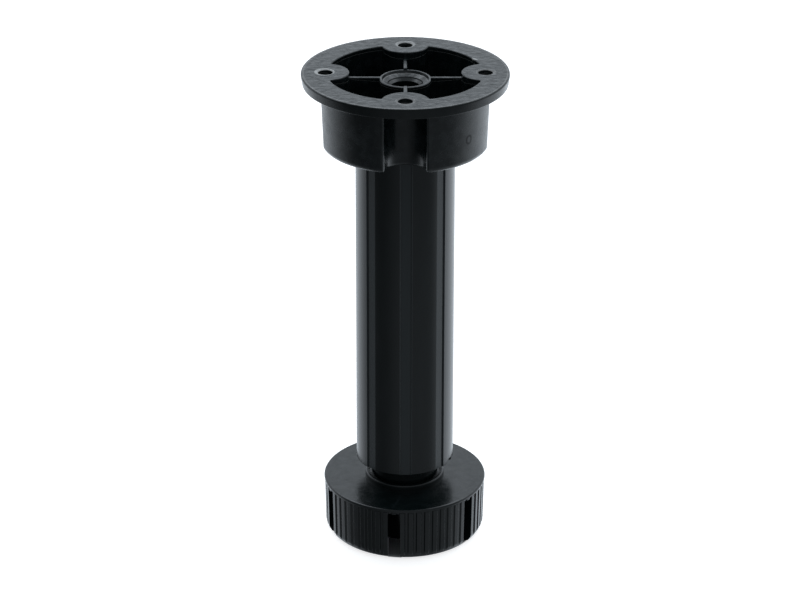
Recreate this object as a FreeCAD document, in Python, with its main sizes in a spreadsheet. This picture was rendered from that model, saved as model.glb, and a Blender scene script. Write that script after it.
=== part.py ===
import FreeCAD, Part
import os
import Sketcher

# Adjustable cabinet leg, standing on its foot. +Z runs up the axis, the origin is where the axis meets the
# floor and -Y is the front. It is three plastic mouldings: a mounting head that is screwed under a cabinet,
# a grooved tube pushed into the head's socket, and a foot whose threaded stem runs in the tube's lower end.
# All lengths are in millimetres and all angles in degrees.

# Driving sizes: name, value and meaning
SIZES = [
    ("overall_height", 150.0, "flange top above the floor"),
    ("flange_diameter", 61.5, "round screw-on flange"),
    ("flange_thickness", 3.2, "flange plate"),
    ("flange_draft", 0.5, "flange's lower edge inside its upper edge"),
    ("flange_chamfer", 0.5, "both outer edges of the flange"),
    ("screw_circle_diameter", 46.8, "circle through the screw holes"),
    ("screw_count", 4, "screw holes, flutes and webs"),
    ("screw_hole_diameter", 4.3, "clear hole for a 4 mm wood screw"),
    ("screw_sink_diameter", 5.2, "countersunk mouth of a screw hole"),
    ("screw_sink_angle", 120.0, "included angle of that countersink"),
    ("cup_height", 22.6, "flange top to cup bottom"),
    ("cup_top_diameter", 50.6, "outside of the cup at the flange"),
    ("cup_bottom_diameter", 49.4, "outside of the cup at its bottom"),
    ("cup_wall", 2.55, "wall of the cup"),
    ("cup_floor", 2.0, "floor between cup and socket"),
    ("cup_chamfer", 1.2, "lower outer edge of the cup"),
    ("flute_diameter", 11.8, "screwdriver channel below each screw hole"),
    ("flute_wall", 1.15, "wall round each channel"),
    ("pocket_depth", 9.0, "flange top to the crown over the socket"),
    ("socket_crown", 1.8, "plate that the tube's end bears on"),
    ("socket_wall", 1.8, "sleeve round the tube's end"),
    ("socket_clearance", 0.15, "radial room between tube and socket"),
    ("hub_diameter", 15.4, "central boss of the head"),
    ("hub_drop", 2.0, "hub below the flange top"),
    ("web_drop", 1.6, "web tops below the flange top"),
    ("hub_bore_diameter", 8.4, "bore of the hub"),
    ("hub_ledge_diameter", 10.4, "step at the mouth of the bore"),
    ("hub_sink_diameter", 13.8, "countersunk mouth of the hub"),
    ("hub_sink_depth", 1.4, "depth of that countersink"),
    ("web_thickness", 1.2, "webs from the hub to the channel walls"),
    ("tube_diameter", 29.9, "outside of the tube at its lower end"),
    ("tube_draft", 0.28, "radius that the tube loses up to its upper end"),
    ("tube_wall", 2.7, "wall of the tube above its thread"),
    ("tube_end_chamfer", 0.4, "outer edge of the tube's lower end"),
    ("groove_count", 8, "shallow grooves down the tube"),
    ("groove_width", 3.3, "flat floor of a groove"),
    ("groove_depth", 0.4, "depth of a groove at the tube's upper end"),
    ("notch_azimuth", 67.0, "notch in the tube's lower rim, from the front towards +X"),
    ("notch_width", 3.0, "width of that notch"),
    ("notch_height", 1.8, "height of that notch"),
    ("thread_length", 28.0, "threaded stretch of the tube's bore"),
    ("thread_lead", 1.5, "taper from that stretch to the wider bore"),
    ("thread_clearance", 0.2, "radial room between stem and tube"),
    ("foot_reveal", 6.7, "tube's lower end above the foot's disc"),
    ("foot_turn", -7.7, "first slot of the foot, from the front towards +X"),
    ("foot_diameter", 49.9, "disc of the foot"),
    ("foot_height", 17.6, "disc top above the floor"),
    ("disc_thickness", 2.0, "plate of the disc"),
    ("rim_thickness", 1.0, "rim that overhangs the grip ribs"),
    ("rim_chamfer", 0.3, "upper edges of that rim and of the collar"),
    ("skirt_diameter", 48.8, "skirt between its grip ribs"),
    ("skirt_wall", 2.2, "wall of the skirt"),
    ("skirt_chamfer", 1.2, "lower outer edge of the skirt"),
    ("grip_count", 60, "grip ribs round the skirt before the slots are cut"),
    ("grip_height", 0.42, "grip rib above the skirt"),
    ("grip_width", 1.8, "grip rib at its root"),
    ("grip_crest", 1.3, "grip rib at its crest"),
    ("slot_count", 6, "spanner slots in the skirt"),
    ("slot_width", 3.85, "width of a slot"),
    ("collar_height", 1.6, "collar round the stem, above the disc"),
    ("collar_ledge", 1.15, "collar's top face outside the stem"),
    ("stem_diameter", 22.0, "outside of the threaded stem"),
    ("stem_length", 40.6, "disc top to the stem's end"),
    ("stem_wall", 2.2, "wall of the hollow stem"),
    ("stem_cap", 2.0, "end wall of the stem"),
    ("stem_chamfer", 1.0, "lead-in at the stem's end"),
    ("stay_thickness", 1.6, "stays under the disc, from core to skirt"),
    ("stay_lift", 1.5, "lower edge of the stays above the floor"),
]

# Radii and heights worked out from the driving sizes
FLANGE_RADIUS = "Sizes.flange_diameter / 2"
FLANGE_LOW_RADIUS = f"{FLANGE_RADIUS} - Sizes.flange_draft"
SCREW_RADIUS = "Sizes.screw_circle_diameter / 2"
FLUTE_RADIUS = "Sizes.flute_diameter / 2"
LOBE_RADIUS = f"{FLUTE_RADIUS} + Sizes.flute_wall"
CUP_TOP_RADIUS = "Sizes.cup_top_diameter / 2"
CUP_BOTTOM_RADIUS = "Sizes.cup_bottom_diameter / 2"
OPENING_RADIUS = f"{CUP_TOP_RADIUS} - Sizes.cup_wall"
CUP_FLOOR_RADIUS = f"{CUP_BOTTOM_RADIUS} - Sizes.cup_wall"
INSIDE_CUP_WALL = f"({OPENING_RADIUS} + {CUP_BOTTOM_RADIUS}) / 2"
TUBE_RADIUS = "Sizes.tube_diameter / 2"
TUBE_TOP_RADIUS = f"{TUBE_RADIUS} - Sizes.tube_draft"
TUBE_BORE_RADIUS = f"{TUBE_RADIUS} - Sizes.tube_wall"
SOCKET_RADIUS = f"{TUBE_TOP_RADIUS} + Sizes.socket_clearance"
SLEEVE_RADIUS = f"{SOCKET_RADIUS} + Sizes.socket_wall"
HUB_RADIUS = "Sizes.hub_diameter / 2"
HUB_BORE_RADIUS = "Sizes.hub_bore_diameter / 2"
HUB_LEDGE_RADIUS = "Sizes.hub_ledge_diameter / 2"
HUB_SINK_RADIUS = "Sizes.hub_sink_diameter / 2"
STEM_RADIUS = "Sizes.stem_diameter / 2"
STEM_BORE_RADIUS = f"{STEM_RADIUS} - Sizes.stem_wall"
COLLAR_RADIUS = f"{STEM_RADIUS} + Sizes.collar_ledge"
THREAD_RADIUS = f"{STEM_RADIUS} + Sizes.thread_clearance"
DISC_RADIUS = "Sizes.foot_diameter / 2"
SKIRT_RADIUS = "Sizes.skirt_diameter / 2"
SKIRT_BORE_RADIUS = f"{SKIRT_RADIUS} - Sizes.skirt_wall"
INSIDE_SKIRT_WALL = f"{SKIRT_RADIUS} - Sizes.skirt_wall / 2"

FLANGE_TOP = "Sizes.overall_height"
FLANGE_UNDERSIDE = f"{FLANGE_TOP} - Sizes.flange_thickness"
CUP_BOTTOM = f"{FLANGE_TOP} - Sizes.cup_height"
CUP_FLOOR_TOP = f"{CUP_BOTTOM} + Sizes.cup_floor"
CROWN_TOP = f"{FLANGE_TOP} - Sizes.pocket_depth"
HUB_TOP = f"{FLANGE_TOP} - Sizes.hub_drop"
WEB_TOP = f"{FLANGE_TOP} - Sizes.web_drop"
HUB_LEDGE_HEIGHT = f"{HUB_TOP} - Sizes.hub_sink_depth"
TUBE_TOP = f"{CROWN_TOP} - Sizes.socket_crown"
DISC_TOP = "Sizes.foot_height"
DISC_UNDERSIDE = f"{DISC_TOP} - Sizes.disc_thickness"
RIM_UNDERSIDE = f"{DISC_TOP} - Sizes.rim_thickness"
TUBE_BOTTOM = f"{DISC_TOP} + Sizes.foot_reveal"
THREAD_TOP = f"{TUBE_BOTTOM} + Sizes.thread_length"
COLLAR_TOP = f"{DISC_TOP} + Sizes.collar_height"
STEM_TOP = f"{DISC_TOP} + Sizes.stem_length"

# Names for the sketcher's own numbers
ORIGIN, ACROSS_AXIS, UP_AXIS = -1, -1, -2
START, END, CENTRE = 1, 2, 3

SAME = 0.001
TINY_VOLUME = 0.01


def make_sheet(document):
    """Write the driving sizes into a sheet, one row each: meaning, value with its alias."""
    sheet = document.addObject("Spreadsheet::Sheet", "Sizes")
    for row, (alias, value, meaning) in enumerate(SIZES, 1):
        sheet.set(f"A{row}", meaning)
        sheet.set(f"B{row}", str(value))
        sheet.setAlias(f"B{row}", alias)
    document.recompute()
    return sheet


def number(expression):
    """The present value of an expression on the sheet."""
    return float(FreeCAD.ActiveDocument.Sizes.evalExpression(expression))


def origin_feature(body, role):
    """An origin plane or axis of the body, by its role."""
    return next(item for item in body.Origin.OriginFeatures if item.Role == role)


def new_sketch(body, name, plane, height=None, turn=None):
    """An empty sketch on one of the body's origin planes, raised and turned about the axis by expressions."""
    sketch = body.newObject("Sketcher::SketchObject", name)
    sketch.AttachmentSupport = (origin_feature(body, plane), [""])
    sketch.MapMode = "FlatFace"
    sketch.AttachmentOffset = FreeCAD.Placement(FreeCAD.Vector(), FreeCAD.Rotation(FreeCAD.Vector(0, 0, 1), 0))
    if height:
        sketch.setExpression("AttachmentOffset.Base.z", height)
    if turn:
        sketch.setExpression("AttachmentOffset.Rotation.Angle", turn)
    return sketch


def bind(sketch, name, constraint, expression):
    """Add a dimension to the sketch under a name and tie it to an expression."""
    sketch.renameConstraint(sketch.addConstraint(constraint), name)
    sketch.setExpression(f"Constraints.{name}", expression)


def bind_point(sketch, name, geometry, point, across, up):
    """Tie a point to two distances from the sketch's origin. None puts it on that axis."""
    if across is None:
        sketch.addConstraint(Sketcher.Constraint("PointOnObject", geometry, point, UP_AXIS))
    else:
        distance = Sketcher.Constraint("DistanceX", ORIGIN, START, geometry, point, number(across))
        bind(sketch, f"{name}_across", distance, across)
    if up is None:
        sketch.addConstraint(Sketcher.Constraint("PointOnObject", geometry, point, ACROSS_AXIS))
    else:
        distance = Sketcher.Constraint("DistanceY", ORIGIN, START, geometry, point, number(up))
        bind(sketch, f"{name}_up", distance, up)


def draw_outline(sketch, corners):
    """A closed outline of straight lines. Each corner is a pair of expressions, across and up."""
    places = [FreeCAD.Vector(number(across or "0"), number(up or "0"), 0) for across, up in corners]
    count = len(corners)
    for index, place in enumerate(places):
        sketch.addGeometry(Part.LineSegment(place, places[(index + 1) % count]), False)
    for index, (across, up) in enumerate(corners):
        following = (index + 1) % count
        sketch.addConstraint(Sketcher.Constraint("Coincident", index, END, following, START))
        bind_point(sketch, f"corner{index}", index, START, across, up)


def draw_bar(sketch, width, near, far):
    """A bar of the given width along the front, between two distances from the axis."""
    left = f"-({width}) / 2"
    right = f"({width}) / 2"
    draw_outline(sketch, [(left, f"-({far})"), (right, f"-({far})"), (right, f"-({near})"), (left, f"-({near})")])


def draw_circle(sketch, radius, distance):
    """A circle whose centre lies at a distance from the axis, along the front."""
    centre = FreeCAD.Vector(0, -number(distance), 0)
    circle = sketch.addGeometry(Part.Circle(centre, FreeCAD.Vector(0, 0, 1), number(radius)), False)
    bind(sketch, "radius", Sketcher.Constraint("Radius", circle, number(radius)), radius)
    bind_point(sketch, "centre", circle, CENTRE, None, f"-({distance})")


def draw_lobe(sketch, radius, distance, limit):
    """A round lobe along the front, closed on its outer side by an arc about the axis of radius limit."""
    lobe_radius, centre_distance, limit_radius = number(radius), number(distance), number(limit)
    upward = FreeCAD.Vector(0, 0, 1)
    lobe_centre = FreeCAD.Vector(0, -centre_distance, 0)
    lobe_circle = Part.Circle(lobe_centre, upward, lobe_radius)
    limit_circle = Part.Circle(FreeCAD.Vector(), upward, limit_radius)
    crossings = sorted(lobe_circle.intersect(limit_circle), key=lambda point: point.X)
    left, right = [FreeCAD.Vector(point.X, point.Y, 0) for point in crossings]
    inmost = FreeCAD.Vector(0, lobe_radius - centre_distance, 0)
    outmost = FreeCAD.Vector(0, -limit_radius, 0)
    lobe = sketch.addGeometry(Part.Arc(right, inmost, left), False)
    closing = sketch.addGeometry(Part.Arc(left, outmost, right), False)
    sketch.addConstraint(Sketcher.Constraint("Coincident", lobe, END, closing, START))
    sketch.addConstraint(Sketcher.Constraint("Coincident", closing, END, lobe, START))
    sketch.addConstraint(Sketcher.Constraint("Coincident", closing, CENTRE, ORIGIN, START))
    bind(sketch, "limit", Sketcher.Constraint("Radius", closing, limit_radius), limit)
    bind(sketch, "radius", Sketcher.Constraint("Radius", lobe, lobe_radius), radius)
    bind_point(sketch, "centre", lobe, CENTRE, None, f"-({distance})")


def checked(body, feature, base, adds):
    """Recompute, make the feature the body's tip and see that it added or removed material as meant."""
    FreeCAD.ActiveDocument.recompute()
    body.Tip = feature
    change = feature.Shape.Volume - (base.Shape.Volume if base else 0.0)
    if (change if adds else -change) < TINY_VOLUME:
        raise RuntimeError(f"{feature.Name} changes the volume by {change:.3f} cubic mm")
    return feature


def revolve(body, name, sketch):
    """A full turn of a half section about the leg's axis."""
    base = body.Tip
    feature = body.newObject("PartDesign::Revolution", name)
    feature.Profile = sketch
    feature.ReferenceAxis = (sketch, ["V_Axis"])
    feature.Angle = 360.0
    return checked(body, feature, base, True)


def pad(body, name, sketch, height):
    """Material from the sketch upwards."""
    base = body.Tip
    feature = body.newObject("PartDesign::Pad", name)
    feature.Profile = sketch
    feature.setExpression("Length", height)
    return checked(body, feature, base, True)


def pocket(body, name, sketch, height):
    """A cut from the sketch upwards."""
    base = body.Tip
    feature = body.newObject("PartDesign::Pocket", name)
    feature.Profile = sketch
    feature.setExpression("Length", height)
    feature.Reversed = True
    return checked(body, feature, base, False)


def repeat(body, name, originals, count, adds):
    """The given features repeated evenly round the leg's axis."""
    base = body.Tip
    feature = body.newObject("PartDesign::PolarPattern", name)
    feature.Originals = originals
    feature.Axis = (origin_feature(body, "Z_Axis"), [""])
    feature.Angle = 360.0
    feature.setExpression("Occurrences", count)
    return checked(body, feature, base, adds)


def chamfer_edges(body, name, base, size, circles):
    """Bevel the base's circular edges that have the given radii and heights."""
    wanted = [(number(edge_radius), number(height)) for edge_radius, height in circles]
    names = []
    for index, edge in enumerate(base.Shape.Edges, 1):
        if not isinstance(edge.Curve, Part.Circle):
            continue
        found = (edge.Curve.Radius, edge.Curve.Center.z)
        if any(abs(found[0] - place[0]) < SAME and abs(found[1] - place[1]) < SAME for place in wanted):
            names.append(f"Edge{index}")
    feature = body.newObject("PartDesign::Chamfer", name)
    feature.Base = (base, names)
    feature.setExpression("Size", size)
    return checked(body, feature, base, False)


def make_mounting_head(document):
    """Flange and cup in one moulding: a socket for the tube below, a hub on webs above, four screw channels."""
    body = document.addObject("PartDesign::Body", "mounting_head")
    section = new_sketch(body, "head_section", "XZ_Plane")
    draw_outline(section, [
        (HUB_BORE_RADIUS, TUBE_TOP),
        (SOCKET_RADIUS, TUBE_TOP),
        (SOCKET_RADIUS, CUP_BOTTOM),
        (CUP_BOTTOM_RADIUS, CUP_BOTTOM),
        (CUP_TOP_RADIUS, FLANGE_UNDERSIDE),
        (FLANGE_LOW_RADIUS, FLANGE_UNDERSIDE),
        (FLANGE_RADIUS, FLANGE_TOP),
        (OPENING_RADIUS, FLANGE_TOP),
        (CUP_FLOOR_RADIUS, CUP_FLOOR_TOP),
        (SLEEVE_RADIUS, CUP_FLOOR_TOP),
        (SLEEVE_RADIUS, CROWN_TOP),
        (HUB_RADIUS, CROWN_TOP),
        (HUB_RADIUS, HUB_TOP),
        (HUB_SINK_RADIUS, HUB_TOP),
        (HUB_LEDGE_RADIUS, HUB_LEDGE_HEIGHT),
        (HUB_BORE_RADIUS, HUB_LEDGE_HEIGHT),
    ])
    turned = revolve(body, "head_turned", section)
    flange = chamfer_edges(body, "flange_edges", turned, "Sizes.flange_chamfer",
                           [(FLANGE_RADIUS, FLANGE_TOP), (FLANGE_LOW_RADIUS, FLANGE_UNDERSIDE)])
    chamfer_edges(body, "cup_edge", flange, "Sizes.cup_chamfer", [(CUP_BOTTOM_RADIUS, CUP_BOTTOM)])

    lobe_sketch = new_sketch(body, "lobe_outline", "XY_Plane", CUP_FLOOR_TOP)
    draw_lobe(lobe_sketch, LOBE_RADIUS, SCREW_RADIUS, INSIDE_CUP_WALL)
    lobe = pad(body, "channel_wall", lobe_sketch, f"{FLANGE_TOP} - ({CUP_FLOOR_TOP})")

    web_sketch = new_sketch(body, "web_outline", "XY_Plane", CROWN_TOP)
    draw_bar(web_sketch, "Sizes.web_thickness", f"({HUB_RADIUS} + {HUB_SINK_RADIUS}) / 2",
             f"{SCREW_RADIUS} - ({FLUTE_RADIUS}) - Sizes.flute_wall / 2")
    web = pad(body, "hub_web", web_sketch, f"{WEB_TOP} - ({CROWN_TOP})")
    repeat(body, "walls_and_webs", [lobe, web], "Sizes.screw_count", True)

    flute_sketch = new_sketch(body, "flute_outline", "XY_Plane", CUP_BOTTOM)
    draw_circle(flute_sketch, FLUTE_RADIUS, SCREW_RADIUS)
    flute = pocket(body, "screw_channel", flute_sketch, f"{FLANGE_UNDERSIDE} - ({CUP_BOTTOM})")

    hole_sketch = new_sketch(body, "screw_place", "XY_Plane", FLANGE_TOP)
    draw_circle(hole_sketch, "Sizes.screw_hole_diameter / 2", SCREW_RADIUS)
    hole = body.newObject("PartDesign::Hole", "screw_hole")
    hole.Profile = hole_sketch
    document.recompute()
    hole.DepthType = "Dimension"
    hole.DrillPoint = "Flat"
    hole.setExpression("Depth", "Sizes.flange_thickness * 2")
    hole.setExpression("Diameter", "Sizes.screw_hole_diameter")
    hole.HoleCutType = "Countersink"
    hole.HoleCutCustomValues = True
    hole.setExpression("HoleCutDiameter", "Sizes.screw_sink_diameter")
    hole.setExpression("HoleCutCountersinkAngle", "Sizes.screw_sink_angle")
    checked(body, hole, flute, False)
    repeat(body, "channels_and_holes", [flute, hole], "Sizes.screw_count", False)
    return body


def make_leg_tube(document):
    """The slightly drafted tube: shallow grooves outside, a thicker threaded stretch inside its lower end."""
    body = document.addObject("PartDesign::Body", "leg_tube")
    section = new_sketch(body, "tube_section", "XZ_Plane")
    draw_outline(section, [
        (THREAD_RADIUS, TUBE_BOTTOM),
        (f"{TUBE_RADIUS} - Sizes.tube_end_chamfer", TUBE_BOTTOM),
        (TUBE_RADIUS, f"{TUBE_BOTTOM} + Sizes.tube_end_chamfer"),
        (TUBE_TOP_RADIUS, TUBE_TOP),
        (TUBE_BORE_RADIUS, TUBE_TOP),
        (TUBE_BORE_RADIUS, f"{THREAD_TOP} + Sizes.thread_lead"),
        (THREAD_RADIUS, THREAD_TOP),
    ])
    revolve(body, "tube_turned", section)

    groove_sketch = new_sketch(body, "groove_outline", "XY_Plane", TUBE_BOTTOM)
    draw_bar(groove_sketch, "Sizes.groove_width", f"{TUBE_TOP_RADIUS} - Sizes.groove_depth",
             f"{TUBE_RADIUS} + Sizes.groove_depth")
    groove = pocket(body, "groove", groove_sketch, f"{TUBE_TOP} - ({TUBE_BOTTOM})")
    repeat(body, "grooves", [groove], "Sizes.groove_count", False)

    notch_sketch = new_sketch(body, "notch_outline", "XY_Plane", TUBE_BOTTOM, "Sizes.notch_azimuth")
    draw_bar(notch_sketch, "Sizes.notch_width", f"{THREAD_RADIUS} - Sizes.tube_wall / 2",
             f"{TUBE_RADIUS} + Sizes.tube_wall / 2")
    pocket(body, "rim_notch", notch_sketch, "Sizes.notch_height")
    return body


def make_adjusting_foot(document):
    """Disc, ribbed skirt and hollow threaded stem in one moulding, open below and stiffened by stays."""
    body = document.addObject("PartDesign::Body", "adjusting_foot")
    section = new_sketch(body, "foot_section", "XZ_Plane")
    draw_outline(section, [
        (None, STEM_TOP),
        (None, f"{STEM_TOP} - Sizes.stem_cap"),
        (STEM_BORE_RADIUS, f"{STEM_TOP} - Sizes.stem_cap"),
        (STEM_BORE_RADIUS, None),
        (STEM_RADIUS, None),
        (STEM_RADIUS, DISC_UNDERSIDE),
        (SKIRT_BORE_RADIUS, DISC_UNDERSIDE),
        (SKIRT_BORE_RADIUS, None),
        (f"{SKIRT_RADIUS} - Sizes.skirt_chamfer", None),
        (SKIRT_RADIUS, "Sizes.skirt_chamfer"),
        (SKIRT_RADIUS, RIM_UNDERSIDE),
        (DISC_RADIUS, RIM_UNDERSIDE),
        (DISC_RADIUS, DISC_TOP),
        (COLLAR_RADIUS, DISC_TOP),
        (COLLAR_RADIUS, COLLAR_TOP),
        (STEM_RADIUS, COLLAR_TOP),
        (STEM_RADIUS, f"{STEM_TOP} - Sizes.stem_chamfer"),
        (f"{STEM_RADIUS} - Sizes.stem_chamfer", STEM_TOP),
    ])
    turned = revolve(body, "foot_turned", section)
    chamfer_edges(body, "foot_edges", turned, "Sizes.rim_chamfer",
                  [(DISC_RADIUS, DISC_TOP), (COLLAR_RADIUS, COLLAR_TOP)])

    grip_sketch = new_sketch(body, "grip_outline", "XY_Plane", "Sizes.skirt_chamfer", "180 / Sizes.grip_count")
    root, crest = INSIDE_SKIRT_WALL, f"{SKIRT_RADIUS} + Sizes.grip_height"
    draw_outline(grip_sketch, [
        ("-Sizes.grip_crest / 2", f"-({crest})"),
        ("Sizes.grip_crest / 2", f"-({crest})"),
        ("Sizes.grip_width / 2", f"-({SKIRT_RADIUS})"),
        ("Sizes.grip_width / 2", f"-({root})"),
        ("-Sizes.grip_width / 2", f"-({root})"),
        ("-Sizes.grip_width / 2", f"-({SKIRT_RADIUS})"),
    ])
    grip = pad(body, "grip_rib", grip_sketch, f"{RIM_UNDERSIDE} - Sizes.skirt_chamfer")
    repeat(body, "grip_ribs", [grip], "Sizes.grip_count", True)

    slot_sketch = new_sketch(body, "slot_outline", "XY_Plane")
    draw_bar(slot_sketch, "Sizes.slot_width", f"{SKIRT_BORE_RADIUS} - Sizes.skirt_wall / 2",
             f"{DISC_RADIUS} + Sizes.skirt_wall / 2")
    slot = pocket(body, "spanner_slot", slot_sketch, DISC_UNDERSIDE)
    repeat(body, "spanner_slots", [slot], "Sizes.slot_count", False)

    stay_sketch = new_sketch(body, "stay_outline", "XY_Plane", "Sizes.stay_lift", "180 / Sizes.slot_count")
    draw_bar(stay_sketch, "Sizes.stay_thickness", f"{STEM_RADIUS} - Sizes.stem_wall / 2", INSIDE_SKIRT_WALL)
    stay = pad(body, "stay", stay_sketch, f"{DISC_UNDERSIDE} - Sizes.stay_lift")
    repeat(body, "stays", [stay], "Sizes.slot_count", True)

    body.Placement = FreeCAD.Placement(FreeCAD.Vector(), FreeCAD.Rotation(FreeCAD.Vector(0, 0, 1), 0))
    body.setExpression("Placement.Rotation.Angle", "Sizes.foot_turn")
    return body


def main():
    """Build the three mouldings, check them and write one file for each."""
    document = FreeCAD.newDocument("cabinet_leg")
    make_sheet(document)
    bodies = [make_mounting_head(document), make_leg_tube(document), make_adjusting_foot(document)]
    document.recompute()
    failed = [item.Label for item in document.Objects if {"Invalid", "Error"} & set(item.State)]
    if failed:
        raise RuntimeError(f"failed features: {failed}")
    for body in bodies:
        if body.Shape.isNull() or not body.Shape.isValid() or len(body.Shape.Solids) != 1:
            raise RuntimeError(f"{body.Label} isn't one valid solid")
    os.makedirs("parts", exist_ok=True)
    for body in bodies:
        body.Shape.exportStep(f"parts/{body.Label}.step")
        box = body.Shape.BoundBox
        print(f"{body.Label}: {body.Shape.Volume / 1000:.2f} cubic cm, {len(body.Shape.Faces)} faces, "
              f"z {box.ZMin:.2f} to {box.ZMax:.2f}, width {box.XLength:.2f}")


main()
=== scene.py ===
"""Adjustable cabinet leg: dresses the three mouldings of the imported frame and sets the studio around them."""

import math
from collections import namedtuple
from functools import partialmethod

import bmesh
import bpy
from bpy.props import FloatProperty, FloatVectorProperty, IntProperty, PointerProperty
from mathutils import Matrix, Vector


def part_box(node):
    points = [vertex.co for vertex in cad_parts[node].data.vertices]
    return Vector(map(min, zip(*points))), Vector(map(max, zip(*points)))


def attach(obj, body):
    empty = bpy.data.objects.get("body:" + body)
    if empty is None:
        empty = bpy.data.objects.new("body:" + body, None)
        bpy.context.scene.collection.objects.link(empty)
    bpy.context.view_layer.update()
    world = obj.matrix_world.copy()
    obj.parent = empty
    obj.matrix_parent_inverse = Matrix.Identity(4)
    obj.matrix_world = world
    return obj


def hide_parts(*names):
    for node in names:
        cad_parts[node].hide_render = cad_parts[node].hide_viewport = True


bl_info = {
    "name": "Adjustable Cabinet Leg",
    "version": (1, 0, 0),
    "blender": (4, 5, 0),
    "location": "3D View > Sidebar > Cabinet Leg",
    "description": "Makes the mounting head, the grooved tube and the adjusting foot, and lights them",
    "category": "Object",
}

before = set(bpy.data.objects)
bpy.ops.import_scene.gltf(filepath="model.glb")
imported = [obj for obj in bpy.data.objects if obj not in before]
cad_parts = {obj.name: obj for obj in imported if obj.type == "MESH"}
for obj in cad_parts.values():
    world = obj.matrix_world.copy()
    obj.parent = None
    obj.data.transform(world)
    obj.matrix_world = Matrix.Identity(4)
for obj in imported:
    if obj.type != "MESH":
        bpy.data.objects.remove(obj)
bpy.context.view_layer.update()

HEAD_LOW, HEAD_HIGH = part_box("mounting_head")
TUBE_LOW, TUBE_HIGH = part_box("leg_tube")
_, FOOT_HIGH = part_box("adjusting_foot")

# Shapes are drawn in millimetres and brought to metres at the end
MM = 0.001
PHOTO_WIDTH = 800
SENSOR = 36.0
FLOOR_REACH = 3.0

# Facets round the axis
FOOT_FACETS = 288
WIDE_FACETS = 256
HOLLOW_FACETS = 192
CORE_FACETS = 128
BORE_FACETS = 96
HOLE_FACETS = 48

# Cleaning of the finished meshes, and how far cutters reach past the faces that they cut
MERGE_DISTANCE = 0.004 * MM
THIN_EDGE = 0.002 * MM
SHARP_ANGLE = math.radians(42)
PAST = 1.0

# Thread: its flank as shares of half a pitch, the run-in at its lower end, and the core that stays
THREAD_FLANK = (0.38, 0.62)
THREAD_RELIEF = 1.5
THREAD_CORE = 5.0
STEM_STEP = 0.2

# Plastic: what the moulded surface takes, and its values for each piece
SURFACE = ("Bloom Scale", "Bloom Amount", "Grain Scale", "Grain Amount", "Stretch", "Wave Amount")
HEAD_SURFACE = dict(zip(SURFACE, (0.3, 1.3, 7.0, 0.8, 1.0, 11.0)))
TUBE_SURFACE = dict(zip(SURFACE, (0.25, 0.35, 6.0, 0.6, 0.25, 0.0)))
FOOT_SURFACE = dict(zip(SURFACE, (0.3, 0.5, 7.0, 0.6, 1.0, 2.0)))
PLASTIC_IOR = 1.5
BUMP_STRENGTH = 0.35
BUMP_DISTANCE = 0.00005

# Marks: painted glints (two ends and a width), the cup's mould mark, a scratch on the disc, pale rims round the
# holes, partly rubbed and partly painted highlight
PAINTED_GLINTS = (((19.9, 11.6, 149.8), (21.1, 10.4, 149.8), 0.5), ((22.2, 3.45, 150.0), (22.5, 3.3, 150.0), 0.4))
MOULD_MARK = ((18.3, -17.1, 135.9), (18.3, -17.1, 135.3))
SCRATCH = ((-3.5, -22.6, 17.6), (-1.4, -16.6, 17.6))
# Tones of the hole rims, front, right, back and left: rubbed rims with painted highlight, brighter where the
# light falls
HOLE_WEAR_AND_LIGHT = (0.25, 0.3, 0.7, 1.0)
HOLE_MARK_SHIFT = 0.25
MARK_CORE = 0.45

# Floor, in metres from the axis: soft edges of the unlit part, what the foot covers, fading in front.
# The fade beside a slot is in slot widths
UNLIT_FADE = 0.0015
UNLIT_EDGE = 0.0003
FOOT_COVER = (0.0215, 0.0245)
FRONT_FADE = (0.18, 0.36)
SLOT_FADE = (0.52, 0.62)

# Studio, as parts of a ray's direction: its dim side, that side's left, the band overhead, steep rays
DIM_SIDE = (-0.7, 0.45)
DIM_LEFT = (-0.9, -0.1)
BAND_LOW = (0.6, 0.74)
BAND_HIGH = (0.86, 0.95)
BAND_BEHIND = (-0.05, 0.3)
STEEP = (0.35, 0.8)


# Settings that a user would change

def length(name, millimetres, description):
    """A length property whose default is given in millimetres."""
    return FloatProperty(name=name, description=description, default=millimetres * MM, min=0.0, unit="LENGTH",
                         subtype="DISTANCE", precision=5)


def degrees(name, value, description):
    """An angle property whose default is given in degrees."""
    return FloatProperty(name=name, description=description, default=math.radians(value), unit="ROTATION",
                         subtype="ANGLE")


def share(name, value, description, highest=1.0):
    """A plain factor property."""
    return FloatProperty(name=name, description=description, default=value, min=0.0, max=highest,
                         subtype="FACTOR")


def number(name, value, description):
    """A number of copies."""
    return IntProperty(name=name, description=description, default=value, min=2)


def colour(name, value, description):
    """A linear colour property."""
    return FloatVectorProperty(name=name, description=description, default=value, min=0.0, max=1.0, size=3,
                               subtype="COLOR")


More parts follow.
